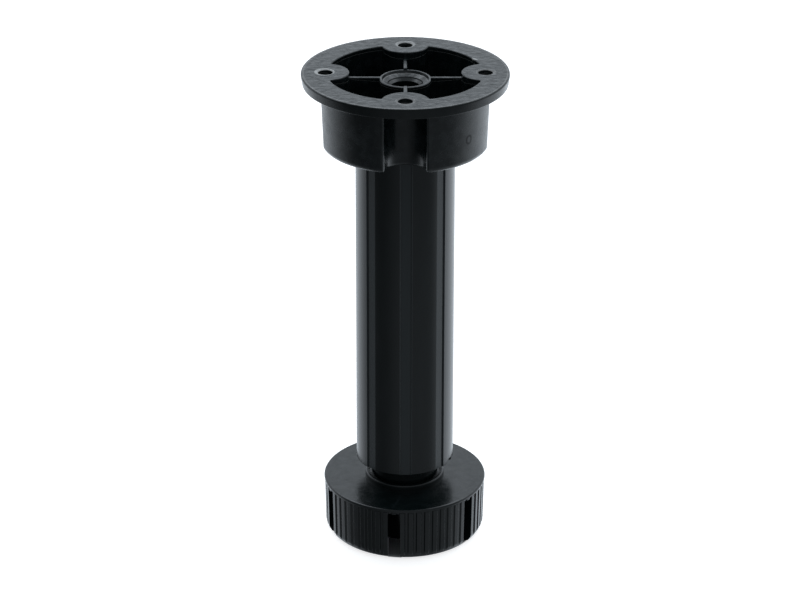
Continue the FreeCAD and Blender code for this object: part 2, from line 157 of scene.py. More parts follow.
class HeadSettings(bpy.types.PropertyGroup):
    """Sizes of the mounting head."""
    flange_radius: length("Flange radius", HEAD_HIGH.x / MM, "Outside of the round flange")
    flange_low_radius: length("Flange low radius", 30.2, "Lower edge of the flange, which is drafted")
    flange_thickness: length("Flange thickness", 3.2, "Plate of the flange")
    flange_rounding: length("Flange rounding", 0.45, "Rounding of the flange's outer edges")
    cup_top_radius: length("Cup top radius", 25.5, "Outside of the cup under the flange")
    cup_bottom_radius: length("Cup bottom radius", 24.85, "Outside of the cup at its bottom")
    cup_fillet: length("Cup fillet", 0.8, "Hollow corner between cup and flange")
    cup_rounding: length("Cup rounding", 2.0, "Rounding of the cup's lower edge")
    cup_wall: length("Cup wall", 2.55, "Wall of the cup")
    cup_floor: length("Cup floor", 2.0, "Floor of the cup")
    edge_rounding: length("Edge rounding", 0.35, "Rounding of the opening's upper edge")
    corner_rounding: length("Corner rounding", 0.4, "Rounding where a channel wall meets the cup wall")
    screw_circle: length("Screw circle radius", 23.4, "Distance of the screw holes from the axis")
    screw_count: number("Screw holes", 4, "Screw holes, channels and webs")
    hole_radius: length("Hole radius", 2.15, "Clear hole for a screw")
    hole_mouth: length("Hole mouth radius", 2.6, "Dished mouth of a screw hole")
    hole_dish: length("Hole dish", 0.26, "Depth of that dish")
    channel_radius: length("Channel radius", 5.9, "Screwdriver channel below a screw hole")
    channel_wall: length("Channel wall", 1.15, "Wall round a channel")
    channel_rounding: length("Channel rounding", 1.3, "Rounded lips of a channel")
    pocket_depth: length("Pocket depth", 9.0, "Flange top to the crown over the socket")
    crown_thickness: length("End plate", 1.8, "Plate over the socket, which the tube's end bears on")
    socket_radius: length("Socket radius", 14.95, "Socket for the tube")
    sleeve_radius: length("Sleeve radius", 16.62, "Outside of the sleeve round the socket")
    hub_radius: length("Hub radius", 7.7, "Central boss")
    hub_drop: length("Hub drop", 2.0, "Hub below the flange top")
    hub_bore: length("Hub bore radius", 4.2, "Bore of the hub")
    hub_ledge: length("Hub ledge radius", 5.2, "Step at the mouth of the bore")
    hub_mouth: length("Hub mouth radius", 6.9, "Countersunk mouth of the hub")
    hub_mouth_depth: length("Hub mouth depth", 1.4, "Depth of that countersink")
    web_drop: length("Web drop", 1.6, "Webs below the flange top")
    web_thickness: length("Web thickness", 1.15, "Webs between the hub and the channel walls")


class TubeSettings(bpy.types.PropertyGroup):
    """Sizes of the grooved tube."""
    radius: length("Radius", 14.95, "Outside of the tube at its lower end")
    draft: length("Draft", 0.12, "Radius lost up to the upper end")
    bore: length("Bore radius", 12.3, "Bore above the threaded stretch")
    end_rounding: length("End rounding", 0.35, "Outer edge of the lower end")
    thread_bore: length("Thread bore radius", 11.2, "Bore of the threaded stretch")
    thread_length: length("Thread length", 28.0, "Threaded stretch of the bore")
    groove_count: number("Grooves", 8, "Shallow grooves down the tube")
    groove_width: length("Groove width", 3.3, "Flat floor of a groove")
    groove_depth: length("Groove depth", 0.55, "Depth of a groove at its middle")
    groove_slope: length("Groove slope", 0.06, "Lean of a groove's walls")
    turn: degrees("Turn", 1.2, "First groove, from the front towards +X")
    notch_angle: degrees("Notch angle", 66.0, "Place of the rim notch, from the front towards +X")
    notch_width: length("Notch width", 3.0, "Width of the rim notch")
    notch_height: length("Notch height", 1.3, "Height of the rim notch")


class FootSettings(bpy.types.PropertyGroup):
    """Sizes of the adjusting foot."""
    turn: degrees("Turn", -7.7, "First slot, from the front towards +X")
    disc_radius: length("Disc radius", 24.95, "Rim of the disc")
    disc_top: length("Disc top", 17.6, "Upper face of the disc above the floor")
    disc_thickness: length("Disc thickness", 2.0, "Plate of the disc")
    rim_thickness: length("Rim thickness", 1.0, "Rim that overhangs the grip ribs")
    skirt_radius: length("Skirt radius", 24.4, "Skirt between its grip ribs")
    skirt_draft: length("Skirt draft", 0.32, "Radius that the skirt loses down to the floor")
    skirt_wall: length("Skirt wall", 2.4, "Wall of the skirt")
    skirt_rounding: length("Skirt rounding", 2.15, "Lower edge of the skirt")
    grip_count: number("Grip ribs", 60, "Ribs before the slots are cut")
    grip_height: length("Grip height", 0.36, "Grip rib above the skirt")
    grip_drop: length("Grip drop", 0.12, "Upper end of the ribs below the rim")
    grip_width: length("Grip width", 1.8, "Grip rib at its root")
    grip_crest: length("Grip crest", 1.3, "Grip rib at its crest")
    slot_count: number("Slots", 6, "Spanner slots and stays")
    slot_width: length("Slot width", 3.85, "Width of a spanner slot")
    collar_radius: length("Collar radius", 12.15, "Collar round the stem")
    collar_height: length("Collar height", 1.6, "Collar above the disc")
    collar_lip: length("Collar lip", 1.2, "Beaded lip of the collar")
    stem_radius: length("Stem radius", 11.0, "Crest of the stem's thread")
    stem_bore: length("Stem bore radius", 8.8, "Hollow of the stem")
    stem_cap: length("Stem cap", 2.0, "End wall of the stem")
    stay_thickness: length("Stay thickness", 1.6, "Stays under the disc")
    stay_lift: length("Stay lift", 1.5, "Lower edge of the stays above the floor")
    thread_pitch: length("Thread pitch", 4.0, "Rise of the thread in one turn")
    thread_depth: length("Thread depth", 0.8, "Crest to root of the thread")


class FinishSettings(bpy.types.PropertyGroup):
    """Colours and surface of the black plastic."""
    plastic: colour("Plastic", (0.0022, 0.0052, 0.0054), "Body colour of the moulding")
    bloom: colour("Bloom", (0.0075, 0.0115, 0.0125), "Paler patches where the surface is dull")
    # Pale colour of the painted glints, of the painted highlight along the flange's edge and of the hole rims,
    # which are rubbed and painted highlight
    wear_and_highlight: colour("Scuff", (0.34, 0.34, 0.33), "Small pale nicks")
    # Painted highlight lines on the lips of the tube's grooves
    lip_highlight: colour("Worn", (0.036, 0.042, 0.044), "Rubbed edges of the tube's grooves")
    roughness: share("Roughness", 0.2, "Roughness of the smooth plastic")


class StageSettings(bpy.types.PropertyGroup):
    """Camera and studio."""
    aim: FloatVectorProperty(name="Aim", description="Point at the middle of the picture",
                             default=(-0.0014842, 0.0, 0.07653), size=3, unit="LENGTH", subtype="XYZ")
    distance: length("Distance", 884.0, "Camera to aim")
    elevation: degrees("Elevation", 24.901, "Height of the camera over the horizon")
    roll: degrees("Roll", -0.067, "Turn of the picture")
    focal_pixels: FloatProperty(name="Focal length", default=2920.5, min=1.0,
                                description="Focal length in pixels of an 800 pixel picture")
    floor_colour: colour("Floor colour", (0.8, 0.8, 0.8), "Plain pale floor")
    floor_glow: share("Floor glow", 0.76, "Share of the floor's white that no shadow takes")
    unlit_radius: length("Unlit radius", 22.0, "Floor that the foot shuts in")
    unlit_slot: length("Unlit slot radius", 22.7, "The same where a slot opens the skirt")
    dark_side: degrees("Dark side", -5.0, "Middle of the dim side of the studio, from the front towards +X")
    dark_level: share("Dark level", 0.13, "Brightness of the dim side at the left")
    front_level: share("Front level", 0.31, "Brightness of the dim side at the front and the right")
    wall_level: share("Wall level", 0.98, "Brightness of the studio behind the leg", highest=2.0)
    floor_level: share("Floor level", 1.38, "Brightness of the floor behind, as mirrored", highest=2.0)
    overhead_level: share("Overhead level", 1.8, "Extra light of a band high behind the leg", highest=5.0)
    light_tint: colour("Light tint", (0.852, 0.926, 1.0), "Colour of the studio's light")


SETTINGS = {
    "leg_head": HeadSettings,
    "leg_tube": TubeSettings,
    "leg_foot": FootSettings,
    "leg_finish": FinishSettings,
    "leg_stage": StageSettings,
}


# Outlines and solids

def arc(across, along, radius, first, sweep, steps, skip=0):
    """Points in equal steps on an arc about a point, from an angle on, less those to skip."""
    angles = [first + sweep * step / steps for step in range(skip, steps + 1)]
    return [(across + radius * math.cos(angle), along + radius * math.sin(angle)) for angle in angles]


def rounded(corners, steps=5):
    """Points of an outline whose corners are (across, up), or (across, up, radius) where they are rounded."""
    points = []
    for index, (across, up, *rounding) in enumerate(corners):
        here = Vector((across, up))
        radius = sum(rounding)
        if radius <= 0.0:
            points.append((across, up))
            continue
        before = (Vector(corners[index - 1][:2]) - here).normalized()
        after = (Vector(corners[(index + 1) % len(corners)][:2]) - here).normalized()
        half = before.angle(after) / 2
        centre = here + (before + after).normalized() * (radius / math.sin(half))
        start = here + before * (radius / math.tan(half)) - centre
        end = here + after * (radius / math.tan(half)) - centre
        sweep = math.atan2(start.x * end.y - start.y * end.x, start.dot(end))
        first = math.atan2(start.y, start.x)
        points.extend(arc(centre.x, centre.y, radius, first, sweep, steps))
    return points


def bar_section(half, low, high, low_radius=0.0, high_radius=0.0, flare=0.0):
    """A bar's section as (sideways, up) pairs, with rounded edges and a lower side widened by the flare."""
    return rounded([
        (-half - flare, low, low_radius), (half + flare, low, low_radius),
        (half, high, high_radius), (-half, high, high_radius),
    ])


def clean(mesh, merge, thin=0.0):
    """Merge a mesh's doubles, dissolve what is thinner than given and turn its faces outward."""
    shell = bmesh.new()
    shell.from_mesh(mesh)
    bmesh.ops.remove_doubles(shell, verts=shell.verts, dist=merge)
    if thin:
        bmesh.ops.dissolve_degenerate(shell, edges=shell.edges, dist=thin)
    bmesh.ops.recalc_face_normals(shell, faces=shell.faces)
    shell.to_mesh(mesh)
    shell.free()


def new_object(name, points, faces):
    """A linked object from points and faces, with doubles merged and its faces outward."""
    mesh = bpy.data.meshes.new(name)
    mesh.from_pydata(points, [], faces)
    clean(mesh, 1e-5)
    piece = bpy.data.objects.new(name, mesh)
    bpy.context.scene.collection.objects.link(piece)
    return piece


def lathe(name, corners, columns, closed=False):
    """A turned solid. Its corners, given as for rounded, run from axis to axis or round a closed loop."""
    points = []
    rows = []
    for radius, height in rounded(corners):
        if radius < 1e-6:
            rows.append([len(points)] * columns)
            points.append((0.0, 0.0, height))
            continue
        rows.append(range(len(points), len(points) + columns))
        for column in range(columns):
            angle = math.tau * column / columns
            points.append((radius * math.cos(angle), radius * math.sin(angle), height))
    faces = []
    pairs = list(zip(rows, rows[1:]))
    if closed:
        pairs.append((rows[-1], rows[0]))
    for low, high in pairs:
        for column in range(columns):
            following = (column + 1) % columns
            face = (low[column], low[following], high[following], high[column])
            faces.append(tuple(dict.fromkeys(face)))
    return new_object(name, points, faces)


def loft(name, rings):
    """A solid through rings of equally many points, closed at both ends."""
    count = len(rings[0])
    points = [point for ring in rings for point in ring]
    faces = [tuple(range(count)), tuple(range(len(points) - count, len(points)))]
    for level in range(len(rings) - 1):
        for index in range(count):
            following = (index + 1) % count
            base = level * count
            faces.append((base + index, base + following, base + count + following, base + count + index))
    return new_object(name, points, faces)


def upright_bar(name, outline, levels):
    """A bar with the given plan outline. Each level is (height, shift of the outline towards the axis)."""
    return loft(name, [[(x, y + shift, height) for x, y in outline] for height, shift in levels])


def radial_bar(name, section, near, far):
    """A bar along the front, from one distance to another, whose section is (sideways, up) pairs."""
    return loft(name, [[(side, -distance, up) for side, up in section] for distance in (near, far)])


def edge_levels(height, radius, direction, steps=5):
    """Levels (height, widening) of a cutter that leaves a rounded edge where it breaks out of a flat face."""
    sweep = math.radians(78)
    past = 0.3
    levels = []
    for step in range(steps):
        angle = sweep * step / (steps - 1)
        levels.append((height - direction * radius * (1 - math.sin(angle)), radius * (1 - math.cos(angle))))
    levels.append((height + direction * past, levels[-1][1] + past * math.tan(sweep)))
    return levels


def settle(piece):
    """Replace the piece's mesh by what its modifiers make of it."""
    graph = bpy.context.evaluated_depsgraph_get()
    graph.update()
    made = bpy.data.meshes.new_from_object(piece.evaluated_get(graph))
    old = piece.data
    piece.modifiers.clear()
    piece.data = made
    bpy.data.meshes.remove(old)


def combine(piece, tool, operation):
    """Join the tool to the piece or cut it from the piece, and remove the tool."""
    modifier = piece.modifiers.new("combine", "BOOLEAN")
    modifier.solver = "EXACT"
    modifier.operation = operation
    modifier.object = tool
    settle(piece)
    mesh = tool.data
    bpy.data.objects.remove(tool)
    bpy.data.meshes.remove(mesh)
    if not piece.data.polygons:
        raise RuntimeError(f"{piece.name} is empty after {operation}")


# Node trees

class Wiring:
    """Short ways to build one node tree."""

    def __init__(self, tree):
        self.tree = tree

    def feed(self, node, inputs):
        """Link or set a node's inputs by their name or number. A node stands for its first output."""
        for key, value in inputs.items():
            if isinstance(value, bpy.types.Node):
                value = value.outputs[0]
            if isinstance(value, bpy.types.NodeSocket):
                self.tree.links.new(value, node.inputs[key])
            else:
                node.inputs[key].default_value = value

    def node(self, kind, inputs=None, **settings):
        """A new node with the given settings and inputs."""
        node = self.tree.nodes.new(kind)
        for name, value in settings.items():
            setattr(node, name, value)
        self.feed(node, inputs or {})
        return node

    def math(self, operation, first, second=0.0, clamp=False):
        """The result of a math node on two sockets or numbers."""
        node = self.node("ShaderNodeMath", {0: first, 1: second}, operation=operation, use_clamp=clamp)
        return node.outputs[0]

    times = partialmethod(math, "MULTIPLY")
    plus = partialmethod(math, "ADD")
    minus = partialmethod(math, "SUBTRACT")
    over = partialmethod(math, "DIVIDE")

    def vector(self, operation, first, second=(0.0, 0.0, 0.0)):
        """The result of a vector math node on two sockets or vectors."""
        node = self.node("ShaderNodeVectorMath", {0: first, 1: second}, operation=operation)
        return node.outputs["Value" if operation in {"LENGTH", "DOT_PRODUCT"} else "Vector"]

    def split(self, vector):
        """The X, Y and Z of a vector."""
        return self.node("ShaderNodeSeparateXYZ", {0: vector}).outputs

    def ease(self, value, low, high, start=0.0, end=1.0):
        """A smooth step of the value between two numbers."""
        inputs = {"Value": value, "From Min": low, "From Max": high, "To Min": start, "To Max": end}
        return self.node("ShaderNodeMapRange", inputs, interpolation_type="SMOOTHSTEP").outputs["Result"]

    def mix(self, factor, first, second):
        """A colour between two others, each a socket or a colour."""
        inputs = {"Factor": factor, "A": first, "B": second}
        return self.node("ShaderNodeMix", inputs, data_type="RGBA").outputs["Result"]


def node_group(name, kind, inputs, outputs):
    """A new node group with sockets of the given kinds: its wiring and its inputs."""
    tree = bpy.data.node_groups.new(name, kind)
    for way, sockets in (("INPUT", inputs), ("OUTPUT", outputs)):
        for label, socket in sockets.items():
            tree.interface.new_socket(label, in_out=way, socket_type=f"NodeSocket{socket}")
    net = Wiring(tree)
    return net, net.node("NodeGroupInput").outputs


def shared(build):
    """A node group that is made once, under its function's name, and found again after that."""
    def find():
        return bpy.data.node_groups.get(build.__name__) or build(build.__name__)
    return find


def geometry_group(name, inputs):
    """A new geometry group with a geometry input, the given inputs and a material."""
    sockets = {"Geometry": "Geometry", **inputs, "Material": "Material"}
    return node_group(name, "GeometryNodeTree", sockets, {"Geometry": "Geometry"})


def close_geometry(net, geometry, given):
    """Realize the geometry, give it its material and put it out."""
    realized = net.node("GeometryNodeRealizeInstances", {"Geometry": geometry})
    finish = net.node("GeometryNodeSetMaterial", {"Geometry": realized, "Material": given["Material"]})
    net.node("NodeGroupOutput", {"Geometry": finish})
    return net.tree


@shared
def copies_round_axis(name):
    """Copies of a shape, evenly spaced round the leg's axis."""
    net, given = geometry_group(name, {"Copies": "Int", "First Angle": "Float"})
    points = net.node("GeometryNodePoints", {"Count": given["Copies"]})
    index = net.node("GeometryNodeInputIndex")
    step = net.over(math.tau, given["Copies"])
    angle = net.plus(net.times(index, step), given["First Angle"])
    euler = net.node("ShaderNodeCombineXYZ", {"Z": angle})
    rotation = net.node("FunctionNodeEulerToRotation", {0: euler})
    copies = net.node("GeometryNodeInstanceOnPoints", {
        "Points": points, "Instance": given["Geometry"], "Rotation": rotation})
    return close_geometry(net, copies, given)


@shared
def stem_thread(name):
    """A right-hand thread pressed into a turned stem."""
    net, given = geometry_group(name, {"Pitch": "Float", "Depth": "Float", "Start": "Float"})
    across, deep, up = net.split(net.node("GeometryNodeInputPosition"))
    turn = net.over(net.math("ARCTAN2", deep, across), math.tau)
    rise = net.minus(up, given["Start"])
    climbed = net.over(rise, given["Pitch"])
    phase = net.math("FRACT", net.minus(climbed, turn))
    off_groove = net.times(net.math("ABSOLUTE", net.minus(phase, 0.5)), 2.0)
    groove = net.ease(off_groove, *THREAD_FLANK, 1.0, 0.0)
    relief = net.ease(rise, 0.0, THREAD_RELIEF, 1.0, 0.0)
    inward = net.times(net.math("MAXIMUM", groove, relief), given["Depth"])
    squares = net.plus(net.times(across, across), net.times(deep, deep))
    radius = net.math("MAXIMUM", net.math("SQRT", squares), THREAD_CORE)
    keep = net.minus(1.0, net.over(inward, radius))
    moved = net.node("ShaderNodeCombineXYZ", {
        "X": net.times(across, keep), "Y": net.times(deep, keep), "Z": up})
    pressed = net.node("GeometryNodeSetPosition", {"Geometry": given["Geometry"], "Position": moved})
    return close_geometry(net, pressed, given)


def run_tree(piece, tree, values):
    """Run a geometry tree on the piece with the given inputs and keep the result as a plain mesh."""
    modifier = piece.modifiers.new(tree.name, "NODES")
    modifier.node_group = tree
    for item in tree.interface.items_tree:
        if item.in_out == "INPUT" and item.name in values:
            modifier[item.identifier] = values[item.name]
    settle(piece)
    return piece


def round_axis(piece, tool, operation, copies, material, first_angle=0.0):
    """Join or cut a tool that is repeated round the leg's axis."""
    inputs = {"Copies": copies, "First Angle": first_angle, "Material": material}
    combine(piece, run_tree(tool, copies_round_axis(), inputs), operation)


# Materials

Mark = namedtuple("Mark", "start end width tone inner shine", defaults=(0.0, 1.0))


def opaque(tone):
    """A colour with full alpha."""
    return (*tone, 1.0)


def scaled(values, factor):
    """A few values, such as a colour or a place, times a factor."""
    return tuple(factor * value for value in values)


@shared
def moulded_surface(name):
    """Moulded surface: dull bloom, fine grain and faint flow marks, in millimetres of the object."""
    numbers = dict.fromkeys((*SURFACE, "Base Roughness"), "Float")
    results = dict.fromkeys(("Bloom", "Roughness", "Height", "Gloss"), "Float")
    net, given = node_group(name, "ShaderNodeTree", numbers, results)
    along = net.times(given["Stretch"], 1 / MM)
    stretch = net.node("ShaderNodeCombineXYZ", {"X": 1 / MM, "Y": 1 / MM, "Z": along})
    place = net.vector("MULTIPLY", net.node("ShaderNodeTexCoord").outputs["Object"], stretch)

    def noise(scale, detail, roughness):
        inputs = {"Vector": place, "Scale": scale, "Detail": detail, "Roughness": roughness}
        return net.node("ShaderNodeTexNoise", inputs).outputs["Fac"]

    cloud = net.ease(noise(given["Bloom Scale"], 5.0, 0.62), 0.38, 0.72)
    grain = noise(given["Grain Scale"], 2.0, 0.5)
    patchy = noise(net.times(given["Bloom Scale"], 1.4), 3.0, 0.6)
    swell = noise(net.times(given["Bloom Scale"], 1.8), 1.0, 0.5)
    bloom = net.times(cloud, given["Bloom Amount"])
    rough = net.plus(given["Base Roughness"], net.times(bloom, 0.1))
    spread = net.times(net.minus(grain, 0.5), 0.12)
    facing = net.node("ShaderNodeNewGeometry").outputs["True Normal"]
    flat = net.ease(net.split(facing)["Z"], 0.7, 0.95)
    gloss = net.times(net.minus(patchy, 0.5), given["Bloom Amount"])
    gloss = net.times(gloss, net.plus(net.times(flat, 0.8), 0.2))
    wave = net.times(net.times(swell, flat), given["Wave Amount"])
    net.node("NodeGroupOutput", {
        "Bloom": bloom,
        "Roughness": net.plus(rough, spread, clamp=True),
        "Height": net.plus(net.times(grain, given["Grain Amount"]), wave),
        "Gloss": net.plus(gloss, 0.5, clamp=True),
    })
    return net.tree


@shared
def surface_mark(name):
    """A small mark along a line from one point of the object to another: 1 on it, 0 off it."""
    inputs = {"From": "Vector", "To": "Vector", "Inner": "Float", "Width": "Float"}
    net, given = node_group(name, "ShaderNodeTree", inputs, {"Mask": "Float"})
    run = net.vector("SUBTRACT", given["To"], given["From"])
    away = net.vector("SUBTRACT", net.node("ShaderNodeTexCoord").outputs["Object"], given["From"])
    along = net.vector("DOT_PRODUCT", away, run)
    whole = net.math("MAXIMUM", net.vector("DOT_PRODUCT", run, run), 1e-12)
    part = net.over(along, whole, clamp=True)
    nearest = net.node("ShaderNodeVectorMath", {0: run, "Scale": part}, operation="SCALE")
    gap = net.vector("LENGTH", net.vector("SUBTRACT", away, nearest))
    off = net.math("ABSOLUTE", net.minus(gap, given["Inner"]))
    ratio = net.over(off, given["Width"])
    net.node("NodeGroupOutput", {"Mask": net.ease(ratio, MARK_CORE, 1.0, 1.0, 0.0)})
    return net.tree


def plastic(name, finish, looks, marks):
    """Black satin plastic with the given inputs of the moulded surface. Marks are in millimetres."""
    material = bpy.data.materials.new(name)
    material.use_nodes = True
    net = Wiring(material.node_tree)
    inputs = {**looks, "Base Roughness": finish.roughness}
    surface = net.node("ShaderNodeGroup", inputs, node_tree=moulded_surface()).outputs
    shown = net.mix(surface["Bloom"], opaque(finish.plastic), opaque(finish.bloom))
    gloss = surface["Gloss"]
    for mark in marks:
        inputs = {
            "From": scaled(mark.start, MM),
            "To": scaled(mark.end, MM),
            "Inner": mark.inner * MM,
            "Width": mark.width * MM,
        }
        mask = net.node("ShaderNodeGroup", inputs, node_tree=surface_mark()).outputs["Mask"]
        shown = net.mix(mask, shown, opaque(mark.tone))
        if mark.shine < 1.0:
            gloss = net.times(gloss, net.ease(mask, 0.0, 1.0, 1.0, mark.shine))
    bump = net.node("ShaderNodeBump", {
        "Strength": BUMP_STRENGTH, "Distance": BUMP_DISTANCE, "Height": surface["Height"]})
    net.feed(material.node_tree.nodes["Principled BSDF"], {
        "Base Color": shown,
        "IOR": PLASTIC_IOR,
        "Specular IOR Level": gloss,
        "Roughness": surface["Roughness"],
        "Normal": bump.outputs["Normal"],
    })
    return material


def rim_mark(centre, radius, lift, width, tone):
    """A ring on a flat face: the cut of a ball that lies above it, so that little below takes the mark."""
    above = (centre[0], centre[1], centre[2] + lift)
    return Mark(above, above, width, tone, inner=math.hypot(radius, lift))


def head_marks(size, finish, top):
    """Painted glints, mould mark, dull lobes, pale rims of the holes (rubbed and painted highlight), and the
    flange's dull side and a painted highlight line along its edge.
    """
    # Painted glints on edges of the opening and of the right screw hole
    marks = [Mark(start, end, width, finish.wear_and_highlight) for start, end, width in PAINTED_GLINTS]
    marks.append(Mark(*MOULD_MARK, width=0.4, tone=(0.0, 0.0, 0.0), inner=0.9, shine=0.45))
    marks.append(Mark(*MOULD_MARK, width=0.5, tone=finish.bloom))
    reach = size.screw_circle + HOLE_MARK_SHIFT
    for turn, wear_and_light in enumerate(HOLE_WEAR_AND_LIGHT):
        angle = math.tau * turn / size.screw_count - math.pi / 2
        mouth = (reach * math.cos(angle), reach * math.sin(angle), top)
        marks.append(Mark(mouth, mouth, width=8.0, tone=finish.bloom, shine=0.84))
        # Pale ring round the hole's mouth: rubbed rim and painted highlight
        marks.append(rim_mark(mouth, size.hole_mouth, lift=6.0, width=0.22, tone=scaled(finish.wear_and_highlight, wear_and_light)))
    low, high = (0.0, 0.0, top - 8.0), (0.0, 0.0, top + 1.0)
    side = size.flange_radius - 0.22
    marks.append(Mark(low, high, width=0.6, tone=finish.plastic, inner=side, shine=0.65))
    # Painted highlight line along the flange's rounded top edge
    edge = size.flange_radius - 0.7
    marks.append(rim_mark((0.0, 0.0, top), edge, lift=150.0, width=0.08, tone=scaled(finish.wear_and_highlight, 0.3)))
    return marks


def groove_marks(size, finish, bottom, top):
    """Paler floors of the tube's grooves and painted highlight lines along their lips."""
    marks = []
    deep = size.radius - size.groove_depth
    for groove in range(size.groove_count):
        angle = size.turn + math.tau * groove / size.groove_count
        across, along = deep * math.sin(angle), -deep * math.cos(angle)
        low, high = (across, along, bottom), (across, along, top)
        marks.append(Mark(low, high, width=0.62 * size.groove_width, tone=scaled(finish.bloom, 1.9)))
        # Painted highlight lines along both lips of the groove
        marks.append(Mark(low, high, width=0.28, tone=finish.lip_highlight, inner=0.52 * size.groove_width))
    return marks


# Pieces

def in_millimetres(settings):
    """The settings as plain numbers: lengths in millimetres, angles in radians, counts as they are."""
    values = {}
    for name, kind in settings.bl_rna.properties.items():
        if kind.type == "FLOAT" and kind.unit == "LENGTH" and not kind.is_array:
            values[name] = getattr(settings, name) / MM
        elif kind.type in {"FLOAT", "INT"} and not kind.is_array:
            values[name] = getattr(settings, name)
    return type("Sizes", (), values)


def dress(piece, name, node, body, material):
    """Bring a finished piece to metres, smooth it, hide the CAD node that it replaces and hang it on its body.
    """
    piece.name = name
    piece.data.transform(Matrix.Scale(MM, 4))
    clean(piece.data, MERGE_DISTANCE, THIN_EDGE)
    piece.data.shade_smooth()
    piece.data.set_sharp_from_angle(angle=SHARP_ANGLE)
    weighted = piece.modifiers.new("weighted", "WEIGHTED_NORMAL")
    weighted.keep_sharp = True
    weighted.weight = 60
    settle(piece)
    piece.data.name = name
    piece.data.materials.clear()
    piece.data.materials.append(material)
    for face in piece.data.polygons:
        face.material_index = 0
    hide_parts(node)
    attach(piece, body)


def opening_ring(size, height, widen):
    """The head's opening at a height: arcs about the axis between the channel walls, with rounded corners."""
    top = HEAD_HIGH.z / MM
    floor = HEAD_LOW.z / MM + size.cup_floor
    climb = (height - floor) / (top - floor)
    cup = size.cup_bottom_radius + (size.cup_top_radius - size.cup_bottom_radius) * climb
    outer = cup - size.cup_wall + widen
    lobe = size.channel_radius + size.channel_wall - widen
    corner = size.corner_rounding + widen
    circle = size.screw_circle
    along = (circle ** 2 + (outer - corner) ** 2 - (lobe + corner) ** 2) / (2 * circle)
    aside = math.sqrt((outer - corner) ** 2 - along ** 2)
    lobe_end = math.atan2(aside, along - circle)
    first = math.atan2(-aside, circle - along)
    last = math.atan2(aside, along)
    middle = math.pi / size.screw_count
    half = arc(circle, 0.0, lobe, math.pi, lobe_end - math.pi, 14)
    half += arc(along, aside, corner, first, last - first, 7, skip=1)
    half += arc(0.0, 0.0, outer, last, middle - last, 12, skip=1)
    mirror = Matrix.Rotation(2 * middle, 2)
    back = [mirror @ Vector((x, -y)) for x, y in half]
    sector = half + [tuple(point) for point in reversed(back[1:-1])]
    ring = []
    for side in range(size.screw_count):
        turn = Matrix.Rotation(2 * middle * side - math.pi / 2, 2)
        ring.extend((*(turn @ Vector(point)), height) for point in sector)
    return ring


def channel_ring(size, height, widen):
    """A screw channel's outline at a height, with rounded lips where it breaks out of the cup."""
    top = HEAD_HIGH.z / MM - size.flange_thickness
    bottom = HEAD_LOW.z / MM
    climb = (height - bottom) / (top - bottom)
    radius = size.channel_radius + widen
    cup = size.cup_bottom_radius + (size.cup_top_radius - size.cup_bottom_radius) * climb
    beyond = 0.2
    surface = math.sqrt(cup ** 2 - (radius + beyond) ** 2)
    lip = size.channel_rounding
    end = math.acos((surface - lip - size.screw_circle) / radius)
    side = arc(size.screw_circle, 0.0, radius, math.pi, end - math.pi, 24)
    centre = (size.screw_circle + (radius + lip) * math.cos(end), (radius + lip) * math.sin(end))
    sweep = math.radians(66)
    side += arc(*centre, lip, end + math.pi, sweep, 6, skip=1)
    angle = end + math.pi + sweep
    outward = 8
    side.append((side[-1][0] - outward * math.sin(angle), side[-1][1] + outward * math.cos(angle)))
    ring = [(along, -aside) for along, aside in reversed(side[1:])] + side
    return [(aside, -along, height) for along, aside in ring]


